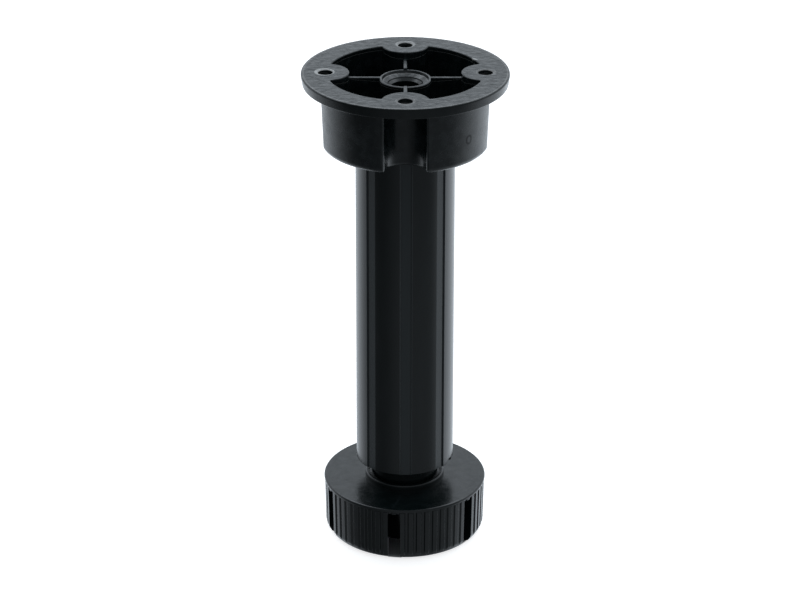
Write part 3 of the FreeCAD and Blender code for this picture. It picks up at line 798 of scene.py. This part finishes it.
def make_head(scene):
    """The mounting head, from a turned body by cutting and joining."""
    size = in_millimetres(scene.leg_head)
    finish = scene.leg_finish
    top = HEAD_HIGH.z / MM
    material = plastic("head_plastic", finish, HEAD_SURFACE, head_marks(size, finish, top))
    bottom = HEAD_LOW.z / MM
    underside = top - size.flange_thickness
    crown = top - size.pocket_depth
    hub_top = top - size.hub_drop
    ledge = hub_top - size.hub_mouth_depth
    web_top = top - size.web_drop

    head = lathe("head", [
        (0.0, bottom), (size.cup_bottom_radius, bottom, size.cup_rounding),
        (size.cup_top_radius, underside, size.cup_fillet),
        (size.flange_low_radius, underside, size.flange_rounding),
        (size.flange_radius, top, size.flange_rounding), (0.0, top),
    ], WIDE_FACETS)
    levels = [(bottom + size.cup_floor, 0.0)] + edge_levels(top, size.edge_rounding, 1)
    combine(head, loft("opening", [opening_ring(size, *level) for level in levels]), "DIFFERENCE")

    core = lathe("core", [
        (0.0, bottom + size.cup_floor / 2), (size.sleeve_radius, bottom + size.cup_floor / 2),
        (size.sleeve_radius, crown, 0.6), (size.hub_radius, crown, 0.6),
        (size.hub_radius, hub_top, 0.35), (0.0, hub_top),
    ], CORE_FACETS)
    combine(head, core, "UNION")

    section = bar_section(size.web_thickness / 2, crown - 0.6, web_top, high_radius=0.3, flare=0.15)
    near = size.hub_radius - 0.25
    far = size.screw_circle - size.channel_radius - size.channel_wall / 2
    web = radial_bar("web", section, near, far)
    round_axis(head, web, "UNION", size.screw_count, material)

    levels = edge_levels(bottom, size.channel_rounding, -1)[::-1] + [(underside - 0.04, 0.0)]
    channel = loft("channel", [channel_ring(size, *level) for level in levels])
    round_axis(head, channel, "DIFFERENCE", size.screw_count, material)

    hole = lathe("hole", [
        (0.0, underside - 2.0), (size.hole_radius, underside - 2.0),
        (size.hole_radius, top - size.hole_dish, 0.1), (size.hole_mouth, top),
        (size.hole_mouth + 0.6, top + 0.35), (0.0, top + 0.35),
    ], HOLE_FACETS)
    hole.data.transform(Matrix.Translation((0.0, -size.screw_circle, 0.0)))
    round_axis(head, hole, "DIFFERENCE", size.screw_count, material)

    socket = lathe("socket", [
        (0.0, bottom - 1.4), (size.socket_radius + 1.2, bottom - 1.4),
        (size.socket_radius, bottom + 0.5), (size.socket_radius, crown - size.crown_thickness, 0.3),
        (size.hub_bore, crown - size.crown_thickness), (size.hub_bore, ledge - 1.0, 0.12),
        (size.hub_ledge - 0.15, ledge - 0.35, 0.05), (size.hub_ledge, ledge, 0.05),
        (size.hub_mouth - 0.25, hub_top - 0.75, 0.2), (size.hub_mouth, hub_top, 0.12),
        (size.hub_mouth + 0.5, hub_top + 0.2), (0.0, hub_top + 0.2),
    ], CORE_FACETS)
    combine(head, socket, "DIFFERENCE")
    dress(head, "dressed_mounting_head", "mounting_head", "leg", material)


class CABINETLEG_OT_mounting_head(bpy.types.Operator):
    """Make the mounting head: flange, open cup, hub on webs and four screw channels"""
    bl_idname = "cabinet_leg.mounting_head"
    bl_label = "Mounting Head"

    def execute(self, context):
        make_head(context.scene)
        return {"FINISHED"}


def make_tube(scene):
    """The grooved tube."""
    size = in_millimetres(scene.leg_tube)
    finish = scene.leg_finish
    top = TUBE_HIGH.z / MM
    bottom = TUBE_LOW.z / MM
    material = plastic("tube_plastic", finish, TUBE_SURFACE, groove_marks(size, finish, bottom, top))

    tube = lathe("tube", [
        (0.0, bottom), (size.radius, bottom, size.end_rounding),
        (size.radius - size.draft, top, 0.4), (0.0, top),
    ], WIDE_FACETS)

    half = size.groove_width / 2
    floor = -(size.radius - size.groove_depth)
    lip = -math.sqrt(size.radius ** 2 - half ** 2)
    outline = rounded([
        (-half - 2.4, lip - 0.45), (-half, lip, 0.22), (-half + size.groove_slope, floor, 0.12),
        (half - size.groove_slope, floor, 0.12), (half, lip, 0.22), (half + 2.4, lip - 0.45),
        (half + 2.4, lip - 2.0), (-half - 2.4, lip - 2.0),
    ], steps=4)
    groove = upright_bar("groove", outline, [(bottom - PAST, 0.0), (top + PAST, size.draft)])
    round_axis(tube, groove, "DIFFERENCE", size.groove_count, material, size.turn)

    thread_top = bottom + size.thread_length
    bore = lathe("bore", [
        (0.0, bottom - 0.6), (size.thread_bore + 1.3, bottom - 0.6),
        (size.thread_bore, bottom + 0.7), (size.thread_bore, thread_top),
        (size.bore, thread_top + 1.5), (size.bore, top + 0.6), (0.0, top + 0.6),
    ], CORE_FACETS)
    combine(tube, bore, "DIFFERENCE")

    roof = bottom + size.notch_height
    section = bar_section(size.notch_width / 2, bottom - PAST, roof, high_radius=0.4)
    notch = radial_bar("notch", section, size.thread_bore - 1.5, size.radius + 1.5)
    notch.data.transform(Matrix.Rotation(size.notch_angle, 4, "Z"))
    combine(tube, notch, "DIFFERENCE")
    dress(tube, "dressed_leg_tube", "leg_tube", "leg", material)


class CABINETLEG_OT_leg_tube(bpy.types.Operator):
    """Make the tube: eight shallow grooves, a stepped bore and one notch in the lower rim"""
    bl_idname = "cabinet_leg.leg_tube"
    bl_label = "Leg Tube"

    def execute(self, context):
        make_tube(context.scene)
        return {"FINISHED"}


def make_foot(scene):
    """The adjusting foot with its thread."""
    size = in_millimetres(scene.leg_foot)
    finish = scene.leg_finish
    scratch = Mark(*SCRATCH, width=0.45, tone=finish.bloom)
    material = plastic("foot_plastic", finish, FOOT_SURFACE, [scratch])
    stem_top = FOOT_HIGH.z / MM
    rim = size.disc_top - size.rim_thickness
    under = size.disc_top - size.disc_thickness
    collar_top = size.disc_top + size.collar_height
    collar_bore = size.collar_radius - size.collar_lip
    skirt_bore = size.skirt_radius - size.skirt_wall

    foot = lathe("foot", [
        (0.0, 0.0), (size.skirt_radius - size.skirt_draft, 0.0, size.skirt_rounding),
        (size.skirt_radius, rim, 0.1), (size.disc_radius, rim, 0.25),
        (size.disc_radius, size.disc_top, 0.55), (size.collar_radius, size.disc_top),
        (size.collar_radius, collar_top, 0.57), (collar_bore, collar_top, 0.57),
        (collar_bore, collar_top - 1.0, 0.1), (0.0, collar_top - 1.0),
    ], FOOT_FACETS)
    hollow = lathe("hollow", [
        (size.stem_radius, -PAST), (skirt_bore, -PAST), (skirt_bore, under, 0.5),
        (size.stem_radius, under, 0.5),
    ], HOLLOW_FACETS, closed=True)
    combine(foot, hollow, "DIFFERENCE")

    section = bar_section(size.stay_thickness / 2, size.stay_lift, under + 0.6, low_radius=0.25)
    stay = radial_bar("stay", section, size.stem_radius - 1.0, skirt_bore + 0.7)
    between = math.pi / size.slot_count
    round_axis(foot, stay, "UNION", size.slot_count, material, between)

    root = size.grip_width / 2
    crest = size.grip_crest / 2
    skirt = -size.skirt_radius
    outline = rounded([
        (-root - 0.1, skirt + 0.9), (-root, skirt), (-crest, skirt - size.grip_height, 0.16),
        (crest, skirt - size.grip_height, 0.16), (root, skirt), (root + 0.1, skirt + 0.9),
    ], steps=3)
    lean = size.skirt_draft
    levels = [(0.9, lean + 1.05), (1.4, lean + 0.52), (1.9, lean + 0.17), (2.6, lean * 0.85),
              (rim - size.grip_drop, 0.0)]
    grip = upright_bar("grip", outline, levels)
    round_axis(foot, grip, "UNION", size.grip_count, material)

    section = bar_section(size.slot_width / 2, -PAST, under + 0.4, high_radius=0.3)
    slot = radial_bar("slot", section, skirt_bore - 1.1, size.disc_radius + 1.1)
    round_axis(foot, slot, "DIFFERENCE", size.slot_count, material)

    low = size.disc_top + 0.2
    rows = int((stem_top - low) / STEM_STEP)
    profile = [(0.0, low)]
    for row in range(rows + 1):
        height = low + (stem_top - low) * row / rows
        profile.append((size.stem_radius - max(0.0, 1.0 - (stem_top - height)), height))
    profile.append((0.0, stem_top))
    stem = lathe("stem", profile, CORE_FACETS)
    run_tree(stem, stem_thread(), {
        "Pitch": size.thread_pitch, "Depth": size.thread_depth,
        "Start": TUBE_LOW.z / MM - THREAD_RELIEF, "Material": material})
    combine(foot, stem, "UNION")

    bore = lathe("bore", [
        (0.0, -0.6), (size.stem_bore + 1.1, -0.6), (size.stem_bore, 0.5),
        (size.stem_bore, stem_top - size.stem_cap), (0.0, stem_top - size.stem_cap),
    ], BORE_FACETS)
    combine(foot, bore, "DIFFERENCE")
    foot.data.transform(Matrix.Rotation(size.turn, 4, "Z"))
    dress(foot, "dressed_adjusting_foot", "adjusting_foot", "foot", material)


class CABINETLEG_OT_adjusting_foot(bpy.types.Operator):
    """Make the foot: disc, ribbed and slotted skirt, collar and threaded stem"""
    bl_idname = "cabinet_leg.adjusting_foot"
    bl_label = "Adjusting Foot"

    def execute(self, context):
        make_foot(context.scene)
        return {"FINISHED"}


# Stage

def dim_side(net, across, deep, settings, bright, fade=1.0):
    """Brightness of the studio in a level direction: dim on the side where the photographer stood."""
    side = net.plus(net.times(across, math.sin(settings.dark_side)),
                    net.times(deep, -math.cos(settings.dark_side)))
    lit = net.ease(side, *DIM_SIDE, 1.0, 0.0)
    low = net.ease(across, *DIM_LEFT, settings.dark_level, settings.front_level)
    low = net.times(low, fade)
    rise = net.times(net.minus(bright, low), lit)
    return net.plus(low, rise)


def show_to_camera(net, around, seen, output):
    """Show one shader to the camera and the other to everything else."""
    camera_ray = net.node("ShaderNodeLightPath").outputs["Is Camera Ray"]
    mixed = net.node("ShaderNodeMixShader", {"Fac": camera_ray, 1: around, 2: seen})
    net.node(output, {"Surface": mixed})


def floor_material(settings, foot):
    """Pale floor: white to the camera with the object's shadow and painted shade under the foot, dim in front
    where the object mirrors it.
    """
    material = bpy.data.materials.new("studio_floor")
    material.use_nodes = True
    material.node_tree.nodes.clear()
    net = Wiring(material.node_tree)
    place = net.node("ShaderNodeTexCoord").outputs["Object"]
    apart = net.vector("LENGTH", place)

    # What the camera sees: a lit floor, and painted shade where the foot shuts it in: half the floor's colour
    # and no glow
    inner = net.ease(apart, settings.unlit_radius - UNLIT_FADE, settings.unlit_slot + UNLIT_EDGE)
    dark = opaque(scaled(settings.floor_colour, 0.5))
    diffuse = net.node("ShaderNodeBsdfDiffuse", {
        "Color": net.mix(inner, dark, opaque(settings.floor_colour))})
    x, y, _ = net.split(place)
    angle = net.math("ARCTAN2", x, net.times(y, -1.0))
    folded = net.math("PINGPONG", net.minus(angle, foot.turn), math.pi / foot.slot_count)
    aside = net.times(net.math("SINE", folded), apart)
    beside = scaled(SLOT_FADE, foot.slot_width)
    edge = net.ease(aside, *beside, settings.unlit_slot, settings.unlit_radius)
    open_floor = net.ease(net.minus(apart, edge), -UNLIT_EDGE, UNLIT_EDGE)
    glow = net.node("ShaderNodeEmission", {"Strength": net.times(open_floor, settings.floor_glow)})
    seen = net.node("ShaderNodeAddShader", {0: diffuse, 1: glow})

    # What the object mirrors: brightness by the ray's direction, lower under steep rays and far in front
    incoming = net.node("ShaderNodeNewGeometry").outputs["Incoming"]
    level_ray = net.vector("MULTIPLY", incoming, (-1.0, -1.0, 0.0))
    across, deep, _ = net.split(net.vector("NORMALIZE", level_ray))
    below = net.ease(net.vector("LENGTH", level_ray), *STEEP, 0.2, 1.0)
    bright = net.ease(across, -1.0, 1.0, 0.92 * settings.floor_level, 1.12 * settings.floor_level)
    bright = net.times(bright, below)
    fade = net.ease(apart, *FRONT_FADE, 1.0, 0.65)
    level = dim_side(net, across, deep, settings, bright, fade)
    uncovered = net.ease(apart, *FOOT_COVER, 0.04, 1.0)
    mirrored = net.node("ShaderNodeEmission", {
        "Color": opaque(settings.light_tint), "Strength": net.times(uncovered, level)})
    show_to_camera(net, mirrored, seen, "ShaderNodeOutputMaterial")
    return material


def studio_world(settings):
    """White to the camera. Round the object it is bright behind, beside and above, and dim in front."""
    world = bpy.data.worlds.new("studio")
    world.use_nodes = True
    world.node_tree.nodes.clear()
    net = Wiring(world.node_tree)
    across, deep, up = net.split(net.node("ShaderNodeTexCoord").outputs["Generated"])
    level = dim_side(net, across, deep, settings, settings.wall_level)
    band = net.times(net.ease(up, *BAND_LOW), net.ease(up, *BAND_HIGH, 1.0, 0.0))
    behind = net.ease(deep, *BAND_BEHIND, 0.0, settings.overhead_level)
    around = net.node("ShaderNodeBackground", {
        "Color": opaque(settings.light_tint),
        "Strength": net.plus(level, net.times(band, behind)),
    })
    show_to_camera(net, around, net.node("ShaderNodeBackground"), "ShaderNodeOutputWorld")
    return world


def set_stage(scene):
    """Floor, light and camera."""
    settings = scene.leg_stage
    corners = [(FLOOR_REACH * x, FLOOR_REACH * y, 0.0) for x, y in ((-1, -1), (1, -1), (1, 1), (-1, 1))]
    floor = new_object("floor", corners, [(0, 1, 2, 3)])
    floor.data.materials.append(floor_material(settings, scene.leg_foot))
    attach(floor, "foot")
    scene.world = studio_world(settings)

    lens = bpy.data.cameras.new("camera")
    lens.sensor_fit = "HORIZONTAL"
    lens.sensor_width = SENSOR
    lens.lens = settings.focal_pixels * SENSOR / PHOTO_WIDTH
    camera = bpy.data.objects.new("camera", lens)
    scene.collection.objects.link(camera)
    back = Vector((0.0, -math.cos(settings.elevation), math.sin(settings.elevation)))
    tilt = Matrix.Rotation(math.pi / 2 - settings.elevation, 4, "X")
    roll = Matrix.Rotation(-settings.roll, 4, "Z")
    place = Matrix.Translation(Vector(settings.aim) + back * settings.distance)
    camera.matrix_world = place @ tilt @ roll
    scene.camera = camera
    scene.view_settings.view_transform = "Standard"


class CABINETLEG_OT_stage(bpy.types.Operator):
    """Set the floor, the soft studio light and the camera"""
    bl_idname = "cabinet_leg.stage"
    bl_label = "Stage"

    def execute(self, context):
        set_stage(context.scene)
        return {"FINISHED"}


class CABINETLEG_PT_sidebar(bpy.types.Panel):
    """Settings and makers of the cabinet leg"""
    bl_idname = "CABINETLEG_PT_sidebar"
    bl_label = "Cabinet Leg"
    bl_space_type = "VIEW_3D"
    bl_region_type = "UI"
    bl_category = "Cabinet Leg"

    def draw(self, context):
        for name in SETTINGS:
            box = self.layout.box()
            settings = getattr(context.scene, name)
            for field in settings.__annotations__:
                box.prop(settings, field)
        for operator in OPERATORS:
            self.layout.operator(operator.bl_idname)


OPERATORS = (
    CABINETLEG_OT_mounting_head,
    CABINETLEG_OT_leg_tube,
    CABINETLEG_OT_adjusting_foot,
    CABINETLEG_OT_stage,
)
CLASSES = (*SETTINGS.values(), *OPERATORS, CABINETLEG_PT_sidebar)


def register():
    """Register the settings, the operators and the panel."""
    for kind in CLASSES:
        bpy.utils.register_class(kind)
    for name, group in SETTINGS.items():
        setattr(bpy.types.Scene, name, PointerProperty(type=group))


def unregister():
    """Undo register."""
    for name in SETTINGS:
        delattr(bpy.types.Scene, name)
    for kind in reversed(CLASSES):
        bpy.utils.unregister_class(kind)


def main():
    """Make the leg and its stage."""
    register()
    bpy.ops.cabinet_leg.mounting_head()
    bpy.ops.cabinet_leg.leg_tube()
    bpy.ops.cabinet_leg.adjusting_foot()
    bpy.ops.cabinet_leg.stage()


if __name__ == "__main__":
    main()
